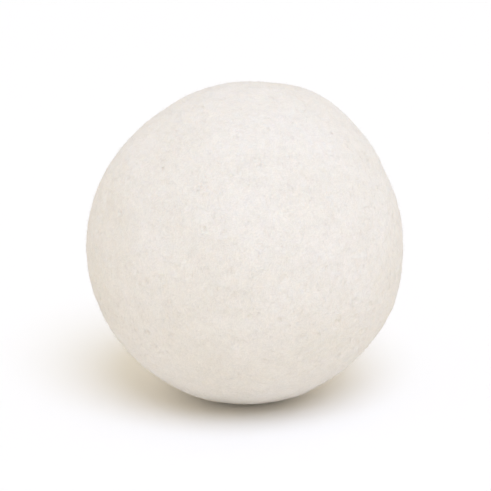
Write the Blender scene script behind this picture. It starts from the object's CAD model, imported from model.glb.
"""The wool dryer ball's looks: the wool wound up inside, the felted skin over it, and its fibres.

Lengths are in metres unless a name or a comment says mm. Azimuths run from +X towards +Y, in degrees.
"""

import itertools
import math

import bpy
import numpy as np
from mathutils import Matrix, Vector


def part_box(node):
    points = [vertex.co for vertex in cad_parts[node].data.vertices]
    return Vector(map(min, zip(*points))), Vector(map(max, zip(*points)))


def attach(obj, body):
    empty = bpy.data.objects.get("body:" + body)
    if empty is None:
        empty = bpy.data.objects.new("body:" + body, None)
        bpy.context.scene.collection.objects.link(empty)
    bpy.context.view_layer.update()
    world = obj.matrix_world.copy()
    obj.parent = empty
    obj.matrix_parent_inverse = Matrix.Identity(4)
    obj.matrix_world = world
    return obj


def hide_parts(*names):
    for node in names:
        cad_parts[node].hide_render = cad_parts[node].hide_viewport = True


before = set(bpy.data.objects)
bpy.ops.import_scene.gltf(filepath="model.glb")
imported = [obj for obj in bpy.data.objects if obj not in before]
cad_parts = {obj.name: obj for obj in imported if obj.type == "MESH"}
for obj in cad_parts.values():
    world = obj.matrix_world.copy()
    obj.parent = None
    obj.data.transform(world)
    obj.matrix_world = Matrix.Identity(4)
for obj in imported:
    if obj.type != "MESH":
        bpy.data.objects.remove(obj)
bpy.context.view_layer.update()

MM = 0.001
SEED = 41

# The ball's place and shape, from the frame.
CORE_LOW, CORE_HIGH = (np.array(corner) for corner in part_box("rolled_core"))
CENTRE = np.array([0.0, 0.0, (CORE_LOW[2] + CORE_HIGH[2]) / 2])
CORE_RADIUS = (CORE_HIGH[0] - CORE_LOW[0]) / 2
SKIN_HALVES = np.array(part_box("felt_skin")[1]) - CENTRE
BALL_RADIUS = float(SKIN_HALVES.mean())


# ---------------------------------------------------------------- directions and noise

# How many different draws a cell of a grid can have, and the odd factors that mix the cell's place
# and a seed into one of them.
DRAWS = 256
PLACE_FACTORS = (73856093, 19349663, 83492791)
SEED_FACTOR = 40503
MIX_FACTOR = 1274126177
# Brings the noise to about -1 to 1.
NOISE_GAIN = 1.7

rng = np.random.default_rng(SEED)
GRADIENTS = rng.normal(size=(DRAWS, 3))
GRADIENTS /= np.linalg.norm(GRADIENTS, axis=1, keepdims=True)
JITTERS = rng.uniform(size=(DRAWS, 3))
NEIGHBOURS = tuple(itertools.product((-1, 0, 1), repeat=3))
CELL_CORNERS = tuple(itertools.product((0, 1), repeat=3))


def unit(vectors):
    return vectors / np.linalg.norm(vectors, axis=-1, keepdims=True)


def direction(azimuth, elevation):
    """Which way an azimuth and an elevation point."""
    a, e = math.radians(azimuth), math.radians(elevation)
    return np.array([math.cos(a) * math.cos(e), math.sin(a) * math.cos(e), math.sin(e)])


def scrambled(cell, seed):
    """A draw for each cell of a grid, the same each run."""
    x, y, z = (cell * PLACE_FACTORS).T
    mixed = x ^ y ^ z ^ (seed * SEED_FACTOR)
    mixed = (mixed ^ (mixed >> 13)) * MIX_FACTOR
    return (mixed ^ (mixed >> 16)) & (DRAWS - 1)


def smooth_noise(places, seed):
    """Gradient noise, about -1 to 1, with features about one unit across."""
    cell = np.floor(places).astype(np.int64)
    part = places - cell
    fade = part**3 * (part * (part * 6 - 15) + 10)
    total = np.zeros(len(places))
    for corner in CELL_CORNERS:
        gradient = GRADIENTS[scrambled(cell + corner, seed)]
        weight = np.prod(np.where(corner, fade, 1 - fade), axis=1)
        total += weight * ((part - corner) * gradient).sum(axis=1)
    return total * NOISE_GAIN


# ---------------------------------------------------------------- pieces and their meshes

# Corners that agree to this many decimals are one corner.
SAME_DECIMALS = 6


def cube_ball(cells):
    """Directions to the corners of a ball of even square cells, and the cells' corner numbers."""
    steps = np.tan(np.linspace(-math.pi / 4, math.pi / 4, cells + 1))
    u, v = (grid.ravel() for grid in np.meshgrid(steps, steps, indexing="ij"))
    one = np.ones_like(u)
    sides = ((u, v, one), (v, u, -one), (one, u, v), (-one, v, u), (v, one, u), (u, -one, v))
    points = unit(np.concatenate([np.stack(side, axis=1) for side in sides]))
    row = np.arange(cells)
    first = (row[:, None] * (cells + 1) + row).ravel()
    cell = np.stack([first, first + cells + 1, first + cells + 2, first + 1], axis=1)
    faces = np.concatenate([cell + side * (cells + 1) ** 2 for side in range(len(sides))])
    # The cube's sides share the corners along their edges.
    rounded = np.round(points, SAME_DECIMALS)
    _, kept, same = np.unique(rounded, axis=0, return_index=True, return_inverse=True)
    return points[kept], same.reshape(-1)[faces]


def link(name, data):
    item = bpy.data.objects.new(name, data)
    bpy.context.scene.collection.objects.link(item)
    return item


def new_piece(name, points, faces, material):
    """A smooth-shaded mesh that rides with the ball."""
    mesh = bpy.data.meshes.new(name)
    mesh.from_pydata(points.tolist(), [], faces.tolist())
    mesh.polygons.foreach_set("use_smooth", [True] * len(mesh.polygons))
    mesh.materials.append(material)
    mesh.update()
    piece = link(name, mesh)
    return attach(piece, "root")


def wool_piece(node, points, faces, material):
    """A stuffed wool piece that stands for a CAD node."""
    piece = new_piece(f"{node}_wool", points, faces, material)
    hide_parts(node)
    return piece


# ---------------------------------------------------------------- the wool inside

# Combed strands: how long, how wide and how deep the hollows between them are, in mm.
STRANDS_MM = ((18.0, 2.4, 0.22), (12.0, 1.3, 0.16))
# What is left between one layer and the next.
GAP = 0.03 * MM

# The core is rolled up about X, and its roll ends in a ledge.
ROLL_AXES = ((0, 1, 0), (0, 0, 1), (1, 0, 0))
ROLL_LEDGE = 0.9 * MM
CORE_CELLS = 56

# How the bands are wound, as in the CAD: three crossed bands to a pass, each pass turned from the last.
PASS_NAMES = ("inner", "middle", "outer")
POLES = ((0, 0, 1), (1, 0, 0), (0, 1, 0))
TURN_AXIS = (1, 2, -1)
TURN_DEGREES = 38
FEATHER = 0.45 * MM
# A band's rings start square to its pole and to this.
SIDEWAYS = (0.3, 0.5, 0.8)
# Where a band is thinner than this, its strands are shallower.
THICK = 1.5 * MM
# A band's mesh: cells round it and across it, places tried for its rim up to near the pole, and how
# thin it is there.
BAND_ROUND, BAND_ACROSS = 100, 130
RIM_STEPS = 181
LAST_LATITUDE = math.radians(89)
RIM = 0.05 * MM
# Spaces out the bands' seeds, so that each has strands of its own.
SEEDS_PER_BAND = 10


def hollows(ways, axes, reach, seed):
    """How far the hollows between combed strands sink. The strands run round the last axis."""
    places = ways @ np.transpose(axes) * reach
    sunk = np.zeros(len(ways))
    for number, (along, wide, deep) in enumerate(STRANDS_MM):
        size = np.array((along, along, wide)) * MM
        sunk += deep * MM * (1 + smooth_noise(places / size, seed + number)) / 2
    return sunk


def core_surface(ways):
    """Wool rolled up along X, with a low ledge where the roll ends."""
    turned = np.arctan2(ways[:, 2], ways[:, 1]) / (2 * math.pi) % 1
    ledge = ROLL_LEDGE * (1 - turned) * np.hypot(ways[:, 1], ways[:, 2])
    return CORE_RADIUS - ledge - hollows(ways, ROLL_AXES, CORE_RADIUS, SEED)


def rolled_core():
    ways, faces = cube_ball(CORE_CELLS)
    points = CENTRE + ways * core_surface(ways)[:, None]
    material = wound_wool("rolled_core", ROLL_AXES, CORE_CREAMS)
    wool_piece("rolled_core", points, faces, material)


class Band:
    """One wound band. Its outside is an ellipsoid about the ball's centre, turned by its pass."""

    def __init__(self, node, pole, turned, halves, seed):
        self.node = node
        self.turned = np.array(turned)
        self.halves = np.array(halves)
        self.seed = seed
        last = np.array(turned @ Vector(pole))
        first = unit(np.cross(last, SIDEWAYS))
        self.axes = (first, np.cross(last, first), last)

    def covered(self, ways, below):
        """The surface once this band is wound over the one below."""
        outside = 1 / np.linalg.norm(ways @ self.turned / self.halves, axis=1)
        room = np.clip((outside - below) / THICK, 0, 1)
        outside -= room * hollows(ways, self.axes, self.halves.mean(), self.seed)
        return np.maximum(below, outside)


def wound_radius():
    """Of the ball that the bands make, from the CAD's last band."""
    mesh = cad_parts["outer_wrap_3"].data
    points = np.empty(len(mesh.vertices) * 3)
    mesh.vertices.foreach_get("co", points)
    return np.linalg.norm(points.reshape(-1, 3) - CENTRE, axis=1).max()


def all_bands():
    """Every band, from the middle out, wound as in the CAD."""
    growth = (wound_radius() - CORE_RADIUS) / len(PASS_NAMES)
    bands = []
    for number, pass_name in enumerate(PASS_NAMES):
        turned = Matrix.Rotation(math.radians(TURN_DEGREES * number), 3, Vector(TURN_AXIS))
        laps = np.zeros(3)
        for count, pole in enumerate(POLES, start=1):
            laps += 1 - np.array(pole)
            halves = CORE_RADIUS + number * growth + laps * growth / 2 - FEATHER * np.array(pole)
            seed = SEEDS_PER_BAND * len(bands)
            bands.append(Band(f"{pass_name}_wrap_{count}", pole, turned, halves, seed))
    return bands


def wound_surface(ways, bands):
    """Distances from the ball's centre to its surface once these bands are wound."""
    surface = core_surface(ways)
    for band in bands:
        surface = band.covered(ways, surface)
    return surface


def band_mesh(band, below):
    """Points and faces of one band, closed along both rims.

    A cross-section is a loop: over the outside from one rim to the other, and back inside.
    """
    first, second, pole = band.axes
    turns = np.linspace(0, 2 * math.pi, BAND_ROUND, endpoint=False)
    flat = np.cos(turns)[:, None] * first + np.sin(turns)[:, None] * second

    def surfaces(latitudes):
        ways = flat[:, None] * np.cos(latitudes)[..., None] + pole * np.sin(latitudes)[..., None]
        under = wound_surface(ways.reshape(-1, 3), below)
        over = band.covered(ways.reshape(-1, 3), under)
        return ways, under.reshape(latitudes.shape) + GAP, over.reshape(latitudes.shape)

    # On each side, the band stops at the first place where it is too thin.
    ladder = np.linspace(0, LAST_LATITUDE, RIM_STEPS)[None].repeat(BAND_ROUND, axis=0)
    rims = []
    for side in (-1, 1):
        _, under, over = surfaces(side * ladder)
        thin = over - under < RIM
        stop = np.where(thin.any(axis=1), thin.argmax(axis=1), RIM_STEPS - 1)
        rims.append(side * ladder[0, stop])
    share = (1 - np.cos(np.linspace(0, math.pi, BAND_ACROSS + 1))) / 2
    ways, under, over = surfaces(rims[0][:, None] + (rims[1] - rims[0])[:, None] * share)
    outside = ways * np.maximum(over, under + RIM)[..., None]
    inside = ways * under[..., None]
    loops = np.concatenate([outside, inside[:, ::-1]], axis=1)
    size = loops.shape[1]
    ring, spot = np.meshgrid(np.arange(BAND_ROUND), np.arange(size), indexing="ij")
    after, beside = (ring + 1) % BAND_ROUND, (spot + 1) % size
    corners = (ring * size + spot, after * size + spot, after * size + beside, ring * size + beside)
    return CENTRE + loops.reshape(-1, 3), np.stack([corner.ravel() for corner in corners], axis=1)


def wind_bands(bands):
    for number, band in enumerate(bands):
        points, faces = band_mesh(band, bands[:number])
        material = wound_wool(band.node, band.axes, BATT_CREAMS)
        wool_piece(band.node, points, faces, material)


# ---------------------------------------------------------------- the felted skin

# Swells and flats left by the felting: azimuth, elevation and spread in degrees, height in mm.
SWELLS = (
    (28, 63, 18, 1.1),
    (6, 24, 15, -0.45),
    (164, 50, 24, -0.95),
    (181, -5, 24, 0.55),
    (-6, -24, 16, 0.55),
    (-80, 10, 26, 0.3),
    (-118, -34, 18, 0.35),
    (100, 8, 24, -0.6),
    (138, -12, 20, 0.5),
    (60, -28, 22, 0.45),
)
# Relief all over: how wide its features are and how high, in mm.
RELIEF_MM = ((19.0, 0.2), (8.0, 0.15), (3.6, 0.09), (1.9, 0.05), (1.2, 0.03))
# Pits: how far apart, how wide, how deep, in mm, and what share of the places has one.
PITS_MM = ((2.6, 0.5, 0.36, 0.42), (6.0, 1.1, 0.42, 0.3))
# Shuffles the draws, to pick the ones that have a pit. It is odd, so that no two draws become one.
PIT_SHUFFLE = 7
# Pits come in patches this wide. The patches' depth is this on average and varies by this, and they
# are deeper in front and below.
PATCH_MM = 14.0
PATCH_DEPTH, PATCH_SWING = 0.45, 1.1
PITTED_SIDE = direction(-85, -18)
PITTED_SIDE_PULL = 0.5
# How gradually the skin turns into the flat that it rests on.
REST_TURN = 0.35 * MM
# The skin's mesh: cells along a side of the cube that its ball is drawn from, outside and inside.
SKIN_CELLS = 116
CAVITY_CELLS = 54


def scattered_pits(places, width, share, seed):
    """How deep in a pit each place is, from 0 to about 1, with pits about one unit apart."""
    cell = np.floor(places).astype(np.int64)
    depth = np.zeros(len(places))
    for step in NEIGHBOURS:
        drawn = scrambled(cell + step, seed)
        middle = cell + step + JITTERS[drawn]
        away = np.linalg.norm(places - middle, axis=1)
        depth += (drawn * PIT_SHUFFLE % DRAWS < share * DRAWS) * np.exp(-((away / width) ** 2))
    return depth


def pit_patches(directions, places):
    """What share of their full depth the pits have at each place."""
    patches = smooth_noise(places / (PATCH_MM * MM), len(RELIEF_MM))
    patches = patches + PITTED_SIDE_PULL * directions @ PITTED_SIDE
    return np.clip(PATCH_DEPTH + PATCH_SWING * patches, 0, 1)


def skin_point(directions, lift=0.0):
    """Points of the felted surface, seen from the ball's centre in these directions, raised by lift."""
    radius = 1 / np.linalg.norm(directions / SKIN_HALVES, axis=1)
    places = directions * radius[:, None]
    rise = np.zeros(len(directions))
    for azimuth, elevation, spread, height in SWELLS:
        away = np.arccos(np.clip(directions @ direction(azimuth, elevation), -1, 1))
        rise += height * MM * np.exp(-((away / math.radians(spread)) ** 2))
    for seed, (width, height) in enumerate(RELIEF_MM):
        rise += height * MM * smooth_noise(places / (width * MM), seed)
    patches = pit_patches(directions, places)
    for seed, (apart, width, depth, share) in enumerate(PITS_MM):
        rise -= depth * MM * patches * scattered_pits(places / (apart * MM), width / apart, share, seed)
    points = CENTRE + directions * (radius + rise + lift)[:, None]
    points[:, 2] = REST_TURN * np.logaddexp(0.0, points[:, 2] / REST_TURN)
    return points


def felt_skin(bands, material):
    outer, faces = cube_ball(SKIN_CELLS)
    inner, inner_faces = cube_ball(CAVITY_CELLS)
    cavity = CENTRE + inner * (wound_surface(inner, bands) + GAP)[:, None]
    points = np.concatenate([skin_point(outer), cavity])
    corners = np.concatenate([faces, inner_faces[:, ::-1] + len(outer)])
    wool_piece("felt_skin", points, corners, material)


# ---------------------------------------------------------------- the skin's fibres

# How many fibres, points along each, length in mm, and how much they curl. The matted ones are in
# several pieces of so many.
MATTED = {"count": 6500, "knots": 7, "length": (1.2, 3.4), "curl": 0.35}
FUZZ = {"count": 16000, "knots": 4, "length": (0.4, 1.2), "curl": 0.4}
MATTED_PIECES = 4
FUZZ_SEED = SEED + 10
MATTED_THICKNESS, FUZZ_THICKNESS = 0.03 * MM, 0.025 * MM
# A matted fibre's ends lie this deep in the skin, and its middle arches up by at most this.
MATTED_DEPTH_MM, MATTED_ARCH_MM = 0.013, 0.02
# A stray hair starts this deep, and stands up by this or, seldom, by up to so much more.
FUZZ_DEPTH_MM, FUZZ_LEAST_MM, FUZZ_MORE_MM = 0.03, 0.12, 0.7
# Powers: how seldom hairs are tall, and how much they turn up towards their ends.
FUZZ_SELDOM, FUZZ_UPTURN = 3, 1.3
# A fibre is a tube with this many sides.
SIDES = 3


def fibre_paths(heights, seed, count, knots, length, curl):
    """Points along fibres that wander over the skin.

    heights gives how far above the skin each fibre is at a share of its length, in mm.
    """
    draw = np.random.default_rng(seed)
    at = unit(draw.normal(size=(count, 3)))
    heading = unit(np.cross(at, draw.normal(size=(count, 3))))
    step = draw.uniform(*length, size=count) * MM / BALL_RADIUS / (knots - 1)
    bend = draw.normal(0, curl, size=count)
    chance = draw.uniform(size=count)
    rows = []
    for knot in range(knots):
        rows.append(skin_point(at, heights(chance, knot / (knots - 1)) * MM))
        across = np.cross(at, heading)
        turn = bend + draw.normal(0, curl, size=count)
        heading = unit(heading + across * turn[:, None])
        ahead = unit(at + heading * step[:, None])
        heading = unit(heading - ahead * (heading * ahead).sum(axis=1, keepdims=True))
        at = ahead
    return np.stack(rows, axis=1)


def fibre_mesh(name, paths, thickness, material):
    """Tubes along paths, with pointed ends."""
    count, _, _ = paths.shape
    along = unit(np.gradient(paths, axis=1))
    side = unit(np.cross(along, unit(paths - CENTRE)))
    up = np.cross(side, along)
    rings = []
    for number in range(SIDES):
        angle = 2 * math.pi * number / SIDES
        offset = side * math.cos(angle) + up * math.sin(angle)
        rings.append((paths + offset * thickness / 2)[:, 1:-1])
    body = np.stack(rings, axis=2).reshape(count, -1, 3)
    # A fibre's points are its first tip, its rings and its last tip.
    points = np.concatenate([paths[:, :1], body, paths[:, -1:]], axis=1)
    size = points.shape[1]
    last_ring = size - 1 - SIDES
    faces = []
    for corner in range(SIDES):
        after = (corner + 1) % SIDES
        faces.append((0, 1 + corner, 1 + after))
        faces.append((size - 1, last_ring + after, last_ring + corner))
        for ring in range(1, last_ring, SIDES):
            low, high = ring + corner, ring + after
            faces += [(low, high + SIDES, high), (low, low + SIDES, high + SIDES)]
    first = np.arange(count) * size
    every = (np.array(faces)[None] + first[:, None, None]).reshape(-1, 3)
    new_piece(name, points.reshape(-1, 3), every, material)


def lying(chance, along):
    return MATTED_ARCH_MM * chance * math.sin(math.pi * along) - MATTED_DEPTH_MM


def standing(chance, along):
    tip = FUZZ_LEAST_MM + FUZZ_MORE_MM * chance**FUZZ_SELDOM
    return tip * along**FUZZ_UPTURN - FUZZ_DEPTH_MM


def fibres(material):
    for number in range(MATTED_PIECES):
        paths = fibre_paths(lying, SEED + number, **MATTED)
        fibre_mesh(f"matted_fibres_{number + 1}", paths, MATTED_THICKNESS, material)
    paths = fibre_paths(standing, FUZZ_SEED, **FUZZ)
    fibre_mesh("fuzz", paths, FUZZ_THICKNESS, material)


# ---------------------------------------------------------------- materials

# From the shaded to the light parts of each wool: places along the noise, and colours.
FELT_CREAMS = ((0.35, (0.78, 0.722, 0.632)), (0.5, (0.79, 0.734, 0.648)), (0.65, (0.8, 0.745, 0.667)))
BATT_CREAMS = ((0.3, (0.73, 0.655, 0.555)), (0.5, (0.785, 0.715, 0.62)), (0.75, (0.82, 0.76, 0.67)))
CORE_CREAMS = ((0.3, (0.66, 0.58, 0.475)), (0.5, (0.72, 0.645, 0.54)), (0.75, (0.77, 0.7, 0.6)))
# From the darkest to the lightest fibre.
FIBRE_CREAMS = ((0.0, (0.75, 0.68, 0.59)), (0.35, (0.8, 0.75, 0.685)), (1.0, (0.85, 0.81, 0.76)))
FIBRE_ROUGHNESS = (0.7, 0.9)
DULL = 0.2

# What the skin and the wool inside have in common: light that spreads in them, and a velvety edge.
SOFT_WOOL = {
    "Specular IOR Level": DULL,
    "Subsurface Weight": 0.3,
    "Subsurface Radius": (1.0, 0.8, 0.6),
    "Subsurface Scale": 0.8 * MM,
    "Sheen Weight": 0.03,
    "Sheen Roughness": 0.5,
    "Sheen Tint": (1, 0.99, 0.97, 1),
}

# Where nearly all of a noise is, and nearly all of the mean of several.
NOISE_RANGE = (0.3, 0.7)
MEAN_RANGE = (0.4, 0.6)

# The felt: how wide its clouds, mottling and lumps are, and how wide and long its streaks, in mm.
CLOUD_MM, MOTTLE_MM, LUMP_MM = 15, 2.6, 0.9
STREAK_MM, STREAK_LENGTH_MM = 0.22, 1.8
# The streaks bend: how wide the bends are and how far they reach, in mm.
BEND_MM, BEND_REACH_MM = 3 * STREAK_LENGTH_MM, 2 * STREAK_LENGTH_MM
# Ways that the streaks cross, as turns in radians.
STREAK_TURNS = ((0.0, 0.0, 0.3), (0.5, 1.1, 1.4), (-0.6, 0.7, 2.5), (1.2, -0.5, 0.9), (0.2, 1.5, -0.8))
# How much the mottling and the streaks darken and lighten the colour.
MOTTLE_SHADES = (0.982, 1.015)
STREAK_SHADES = (0.945, 1.05)
FELT_ROUGHNESS = (0.88, 0.98)
STREAK_HEIGHT, LUMP_HEIGHT = 0.9, 0.6
FELT_BUMP = {"Strength": 0.5, "Distance": 0.12 * MM}

# The wound wool: how wide its locks, hairs and clouds are, in mm, and how long for their width its
# locks and hairs are.
LOCK_MM, HAIR_MM, HAZE_MM = 0.9, 0.2, 8
COMBED_LENGTH = 14
LOCK_SHARE, HAIR_SHARE = 0.6, 0.4
HAZE_SHADES = (0.96, 1.03)
WOUND_ROUGHNESS = (0.82, 0.95)
WOUND_BUMP = {"Strength": 0.6, "Distance": 0.25 * MM}


class Graph:
    """A material's nodes, each made and linked by one call."""

    def __init__(self, name):
        self.material = bpy.data.materials.new(name)
        self.material.use_nodes = True
        self.tree = self.material.node_tree
        self.shader = self.tree.nodes["Principled BSDF"]

    def feed(self, socket, value):
        if isinstance(value, bpy.types.NodeSocket):
            self.tree.links.new(value, socket)
        else:
            socket.default_value = value

    def add(self, kind, inputs, **settings):
        node = self.tree.nodes.new(f"ShaderNode{kind}")
        for key, value in settings.items():
            setattr(node, key, value)
        for key, value in inputs.items():
            self.feed(node.inputs[key], value)
        return node

    def noise(self, place, width_mm, detail=2, output="Fac"):
        """Noise with features about width_mm across."""
        inputs = {"Vector": place, "Scale": 1 / (width_mm * MM), "Detail": detail}
        return self.add("TexNoise", inputs).outputs[output]

    def math(self, operation, *values):
        return self.add("Math", dict(enumerate(values)), operation=operation).outputs[0]

    def blend(self, first, first_share, second, second_share):
        """The sum of two values, each times its share."""
        shares = (self.math("MULTIPLY", first, first_share), self.math("MULTIPLY", second, second_share))
        return self.math("ADD", *shares)

    def spread(self, value, source, target):
        """The value, brought from one range to another."""
        ends = dict(zip(("From Min", "From Max", "To Min", "To Max"), source + target))
        return self.add("MapRange", {"Value": value} | ends).outputs["Result"]

    def shades(self, value, stops):
        ramp = self.add("ValToRGB", {"Fac": value})
        elements = ramp.color_ramp.elements
        while len(elements) < len(stops):
            elements.new(0.5)
        for element, (position, colour) in zip(elements, stops):
            element.position = position
            element.color = (*colour, 1)
        return ramp.outputs["Color"]

    def tinted(self, colour, amount):
        """The colour, each channel times the same amount."""
        return self.add("VectorMath", {0: colour, 1: amount}, operation="MULTIPLY").outputs[0]

    def soft_wool(self, colour, rough, height, bump):
        """Turns the shader into soft wool of this colour, roughness and relief."""
        raised = self.add("Bump", {"Height": height} | bump)
        looks = {"Base Color": colour, "Roughness": rough, "Normal": raised.outputs["Normal"]}
        for socket, value in (looks | SOFT_WOOL).items():
            self.feed(self.shader.inputs[socket], value)
        return self.material


def fibrous(graph, place):
    """A mat of fine crossing streaks, from 0 to 1: noise drawn out in several directions."""
    bend = graph.noise(place, BEND_MM, detail=1, output="Color")
    inputs = {0: bend, 1: (BEND_REACH_MM * MM,) * 3, 2: place}
    bent = graph.add("VectorMath", inputs, operation="MULTIPLY_ADD").outputs[0]
    total = 0.0
    for turn in STREAK_TURNS:
        inputs = {"Vector": bent, "Rotation": turn, "Scale": (STREAK_LENGTH_MM / STREAK_MM, 1, 1)}
        drawn = graph.add("Mapping", inputs, vector_type="TEXTURE").outputs[0]
        total = graph.math("ADD", graph.noise(drawn, STREAK_MM, detail=1), total)
    return graph.math("DIVIDE", total, len(STREAK_TURNS))


def felt_material():
    """Felt, cloudy and mottled, with fine crossing streaks."""
    graph = Graph("felt_wool")
    place = graph.add("TexCoord", {}).outputs["Object"]
    cloudy = graph.noise(place, CLOUD_MM, detail=3)
    mottled = graph.noise(place, MOTTLE_MM, detail=3)
    mat = fibrous(graph, place)
    patchy = graph.spread(mottled, NOISE_RANGE, MOTTLE_SHADES)
    fine = graph.spread(mat, MEAN_RANGE, STREAK_SHADES)
    colour = graph.tinted(graph.tinted(graph.shades(cloudy, FELT_CREAMS), patchy), fine)
    rough = graph.spread(mottled, NOISE_RANGE, FELT_ROUGHNESS)
    height = graph.blend(mat, STREAK_HEIGHT, graph.noise(place, LUMP_MM), LUMP_HEIGHT)
    return graph.soft_wool(colour, rough, height, FELT_BUMP)


def wound_wool(name, axes, creams):
    """Combed wool, whose streaks run round the last of these three axes."""
    graph = Graph(f"{name}_wool")
    place = graph.add("TexCoord", {}).outputs["Object"]
    turn = Matrix(axes).transposed().to_euler()
    longer = (COMBED_LENGTH, COMBED_LENGTH, 1)
    inputs = {"Vector": place, "Location": CENTRE, "Rotation": turn, "Scale": longer}
    combed = graph.add("Mapping", inputs, vector_type="TEXTURE").outputs[0]
    locks = graph.noise(combed, LOCK_MM)
    streaky = graph.blend(locks, LOCK_SHARE, graph.noise(combed, HAIR_MM, detail=1), HAIR_SHARE)
    cloudy = graph.spread(graph.noise(place, HAZE_MM), NOISE_RANGE, HAZE_SHADES)
    colour = graph.tinted(graph.shades(streaky, creams), cloudy)
    rough = graph.spread(locks, NOISE_RANGE, WOUND_ROUGHNESS)
    return graph.soft_wool(colour, rough, streaky, WOUND_BUMP)


def fibre_material():
    """Single fibres, each with its own shade of cream."""
    graph = Graph("wool_fibre")
    one = graph.add("NewGeometry", {}).outputs["Random Per Island"]
    graph.feed(graph.shader.inputs["Base Color"], graph.shades(one, FIBRE_CREAMS))
    graph.feed(graph.shader.inputs["Roughness"], graph.spread(one, (0, 1), FIBRE_ROUGHNESS))
    graph.shader.inputs["Specular IOR Level"].default_value = DULL
    return graph.material


# ---------------------------------------------------------------- the studio

FLOOR_REACH = 8.0
FLOOR_WHITE = (0.96, 0.94, 0.9)
FLOOR_ROUGHNESS = 0.9
# What surrounds the studio is white up to the first height and cream from the second. A height is
# the sine of its elevation.
LOW_WHITE = (0.17, (1, 1, 1))
HIGH_CREAM = (0.35, (0.76, 0.705, 0.6))
SURROUND_STRENGTH = 1.01
# The key light: where it comes from, how wide it is in degrees, its strength and its colour.
KEY_FROM = direction(-74, 56)
KEY_WIDTH = 40
KEY_STRENGTH = 1.3
KEY_COLOUR = (0.81, 1.0, 1.45)
# The camera: its lens and film in mm, how much of the picture's width the ball fills, where the
# camera is from the ball, how far below its centre it aims, and the nearest that it sees.
LENS_MM, FILM_MM = 85, 36
BALL_SHARE = 0.64
CAMERA_FROM = direction(-90, 13)
AIM_DROP = 0.5 * MM
NEAREST = 0.01


def look(item, way):
    """Turns a light or a camera to look this way."""
    item.rotation_euler = Vector(way).to_track_quat("-Z", "Y").to_euler()


def floor():
    graph = Graph("floor_white")
    graph.shader.inputs["Base Color"].default_value = (*FLOOR_WHITE, 1)
    graph.shader.inputs["Roughness"].default_value = FLOOR_ROUGHNESS
    mesh = bpy.data.meshes.new("floor")
    corners = [(x * FLOOR_REACH, y * FLOOR_REACH, 0) for x, y in ((-1, -1), (1, -1), (1, 1), (-1, 1))]
    mesh.from_pydata(corners, [], [(0, 1, 2, 3)])
    mesh.materials.append(graph.material)
    stage = link("floor", mesh)


def surroundings():
    world = bpy.data.worlds.new("studio")
    bpy.context.scene.world = world
    world.use_nodes = True
    tree = world.node_tree
    spot = tree.nodes.new("ShaderNodeTexCoord")
    parts = tree.nodes.new("ShaderNodeSeparateXYZ")
    ramp = tree.nodes.new("ShaderNodeValToRGB")
    for element, (height, colour) in zip(ramp.color_ramp.elements, (LOW_WHITE, HIGH_CREAM)):
        element.position = height
        element.color = (*colour, 1)
    background = tree.nodes["Background"]
    background.inputs["Strength"].default_value = SURROUND_STRENGTH
    tree.links.new(spot.outputs["Generated"], parts.inputs[0])
    tree.links.new(parts.outputs["Z"], ramp.inputs["Fac"])
    tree.links.new(ramp.outputs["Color"], background.inputs["Color"])


def key_light():
    lamp = bpy.data.lights.new("key", "SUN")
    lamp.color = KEY_COLOUR
    lamp.energy = KEY_STRENGTH
    lamp.angle = math.radians(KEY_WIDTH)
    look(link("key", lamp), -KEY_FROM)


def camera():
    lens = bpy.data.cameras.new("camera")
    lens.lens = LENS_MM
    lens.clip_start = NEAREST
    item = link("camera", lens)
    distance = 2 * BALL_RADIUS / BALL_SHARE / (FILM_MM / LENS_MM)
    aim = CENTRE - np.array([0, 0, AIM_DROP])
    item.location = Vector(aim + CAMERA_FROM * distance)
    look(item, -CAMERA_FROM)
    bpy.context.scene.camera = item


bpy.context.scene.view_settings.view_transform = "Standard"
bands = all_bands()
rolled_core()
wind_bands(bands)
felt_skin(bands, felt_material())
fibres(fibre_material())
floor()
surroundings()
key_light()
camera()
